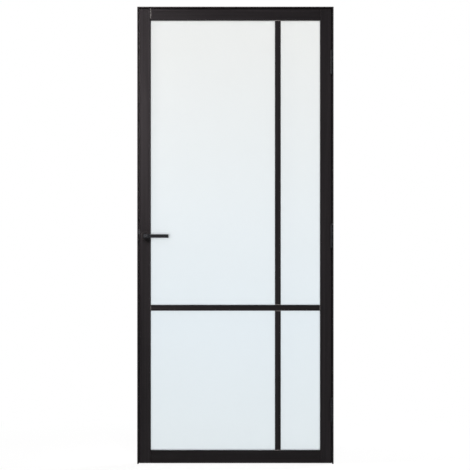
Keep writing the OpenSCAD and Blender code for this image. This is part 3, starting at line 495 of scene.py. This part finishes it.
glassLook = {
    "shadeByHeight": [                              # painted shade: share of the glazed height, and the colour there
        (0.05, (0.807, 0.876, 0.908, 1)),   # painted shade, a little deeper and cooler toward the floor
        (0.30, (0.837, 0.911, 0.957, 1)),
        (0.55, (0.872, 0.929, 0.956, 1)),
        (0.95, (0.890, 0.907, 0.898, 1)),
    ],
    "dark": (0.976, 0.976, 0.976, 1),       # specks of the etching, times the tint
    "light": (1.0, 1.0, 1.0, 1),
    "roughLow": 0.30,
    "roughHigh": 0.35,
    "cloudSize": 2.0,
    "transmission": 0.98,
    "ior": 1.5,
    "etch": 1300.0,
    "bump": 0.05,
    "bumpDepth": 0.0002,
}


# acid etched glass, milky with a fine tooth, with painted shade that grows deeper and cooler toward the
# floor
def makeSatinGlass(name, look):
    material, tree, shader = newMaterial(name)
    point = objectPoint(tree)
    clouds = placeGroup(tree, handledClouds, (-900, 0), {
        "Size": look["cloudSize"], "Low": look["roughLow"], "High": look["roughHigh"]})
    etch = placeGroup(tree, coatPebble, (-900, -250), {"Size": look["etch"]})
    tone = placeGroup(tree, toneByMask, (-600, 200), {"Dark": look["dark"], "Light": look["light"]})
    # painted shade by height over the glazing
    parts = addNode(tree, "ShaderNodeSeparateXYZ", (-900, 500))
    rise = addNode(tree, "ShaderNodeMapRange", (-700, 500))
    setInputs(rise, {"From Min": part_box("glass_lower_wide")[0][2],
                     "From Max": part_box("glass_upper_wide")[1][2]})
    paintedShade = addNode(tree, "ShaderNodeValToRGB", (-500, 500))
    for inner in look["shadeByHeight"][1:-1]:
        paintedShade.color_ramp.elements.new(inner[0])
    for stop, (place, color) in zip(paintedShade.color_ramp.elements, look["shadeByHeight"]):
        stop.position = place
        stop.color = color
    specked = addNode(tree, "ShaderNodeMix", (-200, 350), data_type="RGBA", blend_type="MULTIPLY")
    specked.inputs[mixShare].default_value = 1.0
    bump = addNode(tree, "ShaderNodeBump", (-350, -250))
    setInputs(bump, {"Strength": look["bump"], "Distance": look["bumpDepth"]})
    link = tree.links.new
    link(point, clouds.inputs["Point"])
    link(point, etch.inputs["Point"])
    link(point, parts.inputs["Vector"])
    link(parts.outputs["Z"], rise.inputs["Value"])
    link(rise.outputs["Result"], paintedShade.inputs["Fac"])
    link(paintedShade.outputs["Color"], specked.inputs[mixFirst])
    link(etch.outputs["Height"], tone.inputs["Mask"])
    link(tone.outputs["Color"], specked.inputs[mixSecond])
    link(specked.outputs[mixResult], shader.inputs["Base Color"])
    link(clouds.outputs["Value"], shader.inputs["Roughness"])
    link(etch.outputs["Height"], bump.inputs["Height"])
    link(bump.outputs["Normal"], shader.inputs["Normal"])
    setInputs(shader, {"Transmission Weight": look["transmission"], "IOR": look["ior"], "Metallic": 0.0})
    return material


paneNames = ["upper_wide", "upper_narrow", "lower_wide", "lower_narrow"]
hingeNames = ["bottom", "middle", "top"]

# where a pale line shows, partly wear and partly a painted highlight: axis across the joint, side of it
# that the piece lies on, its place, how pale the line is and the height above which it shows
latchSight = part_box("stile_latch")[1][0]
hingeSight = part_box("stile_hinge")[0][0]
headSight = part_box("rail_top")[0][2]
headLine = headSight + 0.008    # the painted highlight at the top corner stops short of the glass
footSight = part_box("rail_bottom")[1][2]
crossLow, crossHigh = [corner[2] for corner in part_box("bar_horizontal")]
jointEdges = {
    "latchStile": [(acrossDoor, -1, latchSight, 0.52, headLine)],
    "topRail": [(acrossDoor, 1, latchSight, 0.20, headLine)],
    "crossBar": [(acrossDoor, 1, latchSight, 0.50, 0), (acrossDoor, -1, hingeSight, 1.0, 0)],
    "upperBar": [(upDoor, 1, crossHigh, 1.05, 0), (upDoor, -1, headSight, 1.10, 0)],
    "lowerBar": [(upDoor, 1, footSight, 1.30, 0), (upDoor, -1, crossLow, 0.72, 0)],
}

finishes = [
    (makeLacquer("lacquerLatchStile", lacquerLook, upDoor, jointEdges["latchStile"]), ["stile_latch"]),
    (makeLacquer("lacquerHingeStile", lacquerLook, upDoor), ["stile_hinge"]),
    (makeLacquer("lacquerUpperBar", lacquerLook, upDoor, jointEdges["upperBar"]), ["bar_vertical_upper"]),
    (makeLacquer("lacquerLowerBar", lacquerLook, upDoor, jointEdges["lowerBar"]), ["bar_vertical_lower"]),
    (makeLacquer("lacquerBottomRail", bottomRailLook, acrossDoor), ["rail_bottom"]),
    (makeLacquer("lacquerTopRail", lacquerLook, acrossDoor, jointEdges["topRail"]), ["rail_top"]),
    (makeLacquer("lacquerCrossBar", lacquerLook, acrossDoor, jointEdges["crossBar"]), ["bar_horizontal"]),
    (makeLacquer("lacquerSprayed", lacquerLook, None), ["beads_" + pane for pane in paneNames]),
    (makeCoat("frameCoat", coatLook), ["frame_jamb_latch", "frame_jamb_hinge", "frame_head"]),
    (makeCoat("blackRose", roseLook), ["rose_front", "rose_rear"]),
    (makeCoat("blackHardware", hardwareLook),
     ["lever_front", "lever_rear", "hinge_pins", "hinge_frame_screws", "hinge_leaf_screws", "corner_screws"]
     + ["hinge_" + place + "_frame_plate" for place in hingeNames]
     + ["hinge_" + place + "_leaf_plate" for place in hingeNames]),
    (makeSatinGlass("satinGlass", glassLook), ["glass_" + pane for pane in paneNames]),
    (makeCoat("sealRubber", rubberLook),
     ["seal_latch", "seal_hinge", "seal_head", "tapes_front", "tapes_back"]),
    (makeCoat("capPlastic", capLook), ["fixing_caps", "hinge_washers"]),
    (makeCoat("whiteNylon", nylonLook), ["setting_blocks", "lever_bushes"]),
    (makeGrained("brushedPlate", steelLook, upDoor),
     ["strike_plate", "lock_faceplate", "lock_case", "lock_cover", "rose_bases"]),
    (makeGrained("drawnSteel", steelLook, intoDoor),
     ["strike_screws", "lock_case_screws", "faceplate_screws", "latch_spring", "follower", "return_spring",
      "spindle", "rose_screws", "grub_screws"]),
    (makeGrained("boltSteel", steelLook, acrossDoor), ["latch_bolt"]),
    (makeGrained("cleatAluminium", cleatLook, acrossDoor), ["corner_cleats"]),
    (makeGrained("beechAcross", beechLook, acrossDoor), ["corner_dowels"]),
    (makeGrained("beechUpright", beechLook, upDoor), ["bar_dowels"]),
]

finished = set()
for material, names in finishes:
    for name in names:
        for slot in nodes[name].material_slots:
            slot.material = material
        finished.add(name)
print("finishes placed on", len(finished), "of", len(nodes), "nodes")


# springs of the latch, inside its case, wound at one length; the real springs shorten as the lever turns
springLook = {
    "latchSpring": {"node": "latch_spring", "joint": "latch_slide", "wire": 0.00045, "openTurns": 6,
                    "shortens": 0.0092, "heldAtLow": False},
    "returnSpring": {"node": "return_spring", "joint": "lever_turn", "wire": 0.00050, "openTurns": 6,
                     "shortens": 0.0082, "heldAtLow": True},
}

windingLook = {
    "wireSides": 10,
    "turnSteps": 28,
    "smoothAngle": 40,      # degrees
    "mergeShare": 0.02,     # of the wire, where two runs meet
}


# one run of wire: a round section swept along the X axis
def sweepTurns(start, coil, wire, turns, rise):
    clearSelection()
    bpy.ops.mesh.primitive_circle_add(vertices=windingLook["wireSides"], radius=wire, location=start)
    run = bpy.context.object
    bpy.ops.object.mode_set(mode="EDIT")
    bpy.ops.mesh.select_all(action="SELECT")
    bpy.ops.transform.rotate(value=math.radians(90), orient_axis="X", center_override=start)
    bpy.ops.transform.translate(value=(0, 0, coil))
    bpy.ops.object.mode_set(mode="OBJECT")
    screw = run.modifiers.new("turns", "SCREW")
    screw.axis = "X"
    screw.iterations = turns
    screw.screw_offset = rise
    screw.steps = windingLook["turnSteps"]
    screw.render_steps = windingLook["turnSteps"]
    bpy.ops.object.modifier_apply(modifier="turns")
    bpy.ops.object.transform_apply(location=True, rotation=True, scale=True)
    return run


def makeSpring(name, look, material):
    low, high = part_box(look["node"])
    centre = [(a + b) / 2 for a, b in zip(low, high)]
    wire = look["wire"]
    coil = (high[1] - low[1]) / 2 - wire
    closedRise = 2 * wire
    firstClosed = low[0] + wire
    firstOpen = firstClosed + closedRise
    lastClosed = high[0] - wire - closedRise
    openRise = (lastClosed - firstOpen) / look["openTurns"]
    runs = [     # a closed turn at each end, open turns between
        sweepTurns((firstClosed, centre[1], centre[2]), coil, wire, 1, closedRise),
        sweepTurns((firstOpen, centre[1], centre[2]), coil, wire, look["openTurns"], openRise),
        sweepTurns((lastClosed, centre[1], centre[2]), coil, wire, 1, closedRise),
    ]
    clearSelection()
    for run in runs:
        run.select_set(True)
    bpy.context.view_layer.objects.active = runs[1]
    bpy.ops.object.join()
    spring = bpy.context.object
    spring.name = name
    bpy.ops.object.mode_set(mode="EDIT")
    bpy.ops.mesh.select_all(action="SELECT")
    bpy.ops.mesh.remove_doubles(threshold=windingLook["mergeShare"] * wire)
    bpy.ops.mesh.select_all(action="DESELECT")
    bpy.ops.mesh.select_non_manifold()
    bpy.ops.mesh.fill()     # the two cut ends of the wire
    bpy.ops.mesh.select_all(action="SELECT")
    bpy.ops.mesh.normals_make_consistent(inside=False)
    bpy.ops.object.mode_set(mode="OBJECT")
    bpy.ops.object.shade_smooth_by_angle(angle=math.radians(windingLook["smoothAngle"]))
    spring.data.materials.clear()
    spring.data.materials.append(material)
    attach(spring, "leaf")
    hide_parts(look["node"])
    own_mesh(spring)


springSteel = makeGrained("springSteel", steelLook, acrossDoor)
for name, look in springLook.items():
    makeSpring(name, look, springSteel)
print("springs wound")


floorLook = {
    "side": 14.0,
    "cuts": 6,
    "color": (0.82, 0.82, 0.82, 1),
    "roughLow": 0.75,
    "roughHigh": 0.85,
    "cloudSize": 0.8,
    "specular": 0.1,
    "whiteNear": 0.86,      # how far the floor beside the door is plain white to the camera
    "nearReach": 0.5,       # metres from the middle of the door to which that holds
    "whiteReach": 2.2,      # metres at which all of it is white
}


def makeFloor(look):
    clearSelection()
    bpy.ops.mesh.primitive_plane_add(size=look["side"], location=(0, 0, 0))
    floor = bpy.context.object
    floor.name = "studioFloor"
    bpy.ops.object.mode_set(mode="EDIT")
    bpy.ops.mesh.select_all(action="SELECT")
    bpy.ops.mesh.subdivide(number_cuts=look["cuts"])
    bpy.ops.object.mode_set(mode="OBJECT")
    material, tree, shader = newMaterial("floorPaper")
    paper = objectPoint(tree)
    clouds = placeGroup(tree, handledClouds, (-900, 0), {
        "Size": look["cloudSize"], "Low": look["roughLow"], "High": look["roughHigh"]})
    white = addNode(tree, "ShaderNodeEmission", (0, -250))
    setInputs(white, {"Color": (1, 1, 1, 1), "Strength": 1.0})
    rays = addNode(tree, "ShaderNodeLightPath", (-600, 350))
    seen = addNode(tree, "ShaderNodeMath", (-400, 350), operation="MAXIMUM")
    seenThrough = addNode(tree, "ShaderNodeMath", (-200, 350), operation="MAXIMUM")
    away = addNode(tree, "ShaderNodeVectorMath", (-600, 600), operation="LENGTH")
    fade = addNode(tree, "ShaderNodeMapRange", (-400, 600), interpolation_type="SMOOTHSTEP")
    setInputs(fade, {"From Min": look["nearReach"], "From Max": look["whiteReach"],
                     "To Min": look["whiteNear"], "To Max": 1.0})
    share = addNode(tree, "ShaderNodeMath", (0, 350), operation="MULTIPLY")
    mixed = addNode(tree, "ShaderNodeMixShader", (300, 0))
    link = tree.links.new
    link(paper, clouds.inputs["Point"])
    link(clouds.outputs["Value"], shader.inputs["Roughness"])
    setInputs(shader, {"Base Color": look["color"], "Specular IOR Level": look["specular"]})
    link(rays.outputs["Is Camera Ray"], seen.inputs[0])
    link(rays.outputs["Is Glossy Ray"], seen.inputs[1])
    link(seen.outputs["Value"], seenThrough.inputs[0])
    link(rays.outputs["Is Transmission Ray"], seenThrough.inputs[1])
    link(paper, away.inputs[0])
    link(away.outputs["Value"], fade.inputs["Value"])
    link(fade.outputs["Result"], share.inputs[1])
    link(seenThrough.outputs["Value"], share.inputs[0])
    link(share.outputs["Value"], mixed.inputs[0])
    link(shader.outputs["BSDF"], mixed.inputs[1])
    link(white.outputs["Emission"], mixed.inputs[2])
    link(mixed.outputs["Shader"], tree.nodes["Material Output"].inputs["Surface"])
    floor.data.materials.append(material)


makeFloor(floorLook)
print("floor laid")


worldLook = {
    "fill": (0.22, 0.225, 0.23, 1),     # what lights the door from all round
    "background": (1, 1, 1, 1),
    "room": (0.10, 0.10, 0.10, 1),      # the dim room in front, as the finishes mirror it
    "roomEnds": -0.4,                   # Y of a direction, from the room in front to the white behind
    "whiteStarts": 0.3,
}


# white behind the door to the camera, to glass and to reflections
def makeWorld(look):
    world = bpy.data.worlds.new("studio")
    world.use_nodes = True
    tree = world.node_tree
    tree.nodes.clear()
    rays = addNode(tree, "ShaderNodeLightPath", (-800, 300))
    seen = addNode(tree, "ShaderNodeMath", (-550, 300), operation="MAXIMUM")
    compass = addNode(tree, "ShaderNodeTexCoord", (-1200, -200))
    parts = addNode(tree, "ShaderNodeSeparateXYZ", (-1000, -200))
    backdrop = addNode(tree, "ShaderNodeMapRange", (-800, -200), interpolation_type="SMOOTHSTEP")
    setInputs(backdrop, {"From Min": look["roomEnds"], "From Max": look["whiteStarts"]})
    mirrored = addNode(tree, "ShaderNodeMix", (-550, -200), data_type="RGBA")
    mirrored.inputs[mixFirst].default_value = look["room"]
    mirrored.inputs[mixSecond].default_value = look["background"]
    glossy = addNode(tree, "ShaderNodeMix", (-300, 0), data_type="RGBA")
    glossy.inputs[mixFirst].default_value = look["fill"]
    shown = addNode(tree, "ShaderNodeMix", (-50, 0), data_type="RGBA")
    shown.inputs[mixSecond].default_value = look["background"]
    sky = addNode(tree, "ShaderNodeBackground", (200, 0))
    end = addNode(tree, "ShaderNodeOutputWorld", (450, 0))
    link = tree.links.new
    link(compass.outputs["Generated"], parts.inputs["Vector"])
    link(parts.outputs["Y"], backdrop.inputs["Value"])
    link(backdrop.outputs["Result"], mirrored.inputs[mixShare])
    link(rays.outputs["Is Camera Ray"], seen.inputs[0])
    link(rays.outputs["Is Transmission Ray"], seen.inputs[1])
    link(rays.outputs["Is Glossy Ray"], glossy.inputs[mixShare])
    link(mirrored.outputs[mixResult], glossy.inputs[mixSecond])
    link(glossy.outputs[mixResult], shown.inputs[mixFirst])
    link(seen.outputs["Value"], shown.inputs[mixShare])
    link(shown.outputs[mixResult], sky.inputs["Color"])
    link(sky.outputs["Background"], end.inputs["Surface"])
    bpy.context.scene.world = world


lampPlaces = {
    "keyBox": {"spot": (0.1, -4.4, 3.0), "aim": (0, 0, 1.0), "size": (0.6, 0.6), "power": 165.0,
               "color": (1.0, 0.96, 0.93), "mirrored": False},     # so no bright patch in the panes
    "sideBox": {"spot": (-0.98, -0.36, 1.60), "aim": (-0.40, 0, 1.50), "size": (0.15, 1.0), "power": 26.0,
                "color": (1.0, 0.95, 0.93), "mirrored": True},
    "overBox": {"spot": (0, -2.2, 5.0), "aim": (0, 0, 1.0), "size": (1.6, 0.7), "power": 30.0,
                "color": (1.0, 0.98, 0.96), "mirrored": True},
    "backBox": {"spot": (2.3, 2.3, 2.9), "aim": (0, 0, 1.0), "size": (1.2, 1.2), "power": 130.0,
                "color": (1.0, 1.0, 1.0), "mirrored": True},
}


def hangLamp(name, place):
    clearSelection()
    bpy.ops.object.light_add(type="AREA", location=place["spot"])
    lamp = bpy.context.object
    lamp.name = name
    lamp.data.shape = "RECTANGLE"
    lamp.data.size = place["size"][0]
    lamp.data.size_y = place["size"][1]
    lamp.data.energy = place["power"]
    lamp.data.color = place["color"]
    toAim = [a - s for a, s in zip(place["aim"], place["spot"])]
    level = math.hypot(toAim[0], toAim[1])
    lamp.rotation_euler = (math.atan2(level, -toAim[2]), 0, math.atan2(-toAim[0], toAim[1]))
    lamp.visible_camera = False
    lamp.visible_transmission = False
    lamp.visible_glossy = place["mirrored"]


makeWorld(worldLook)
for name, place in lampPlaces.items():
    hangLamp(name, place)
bpy.context.scene.view_settings.view_transform = "Standard"
print("light set")
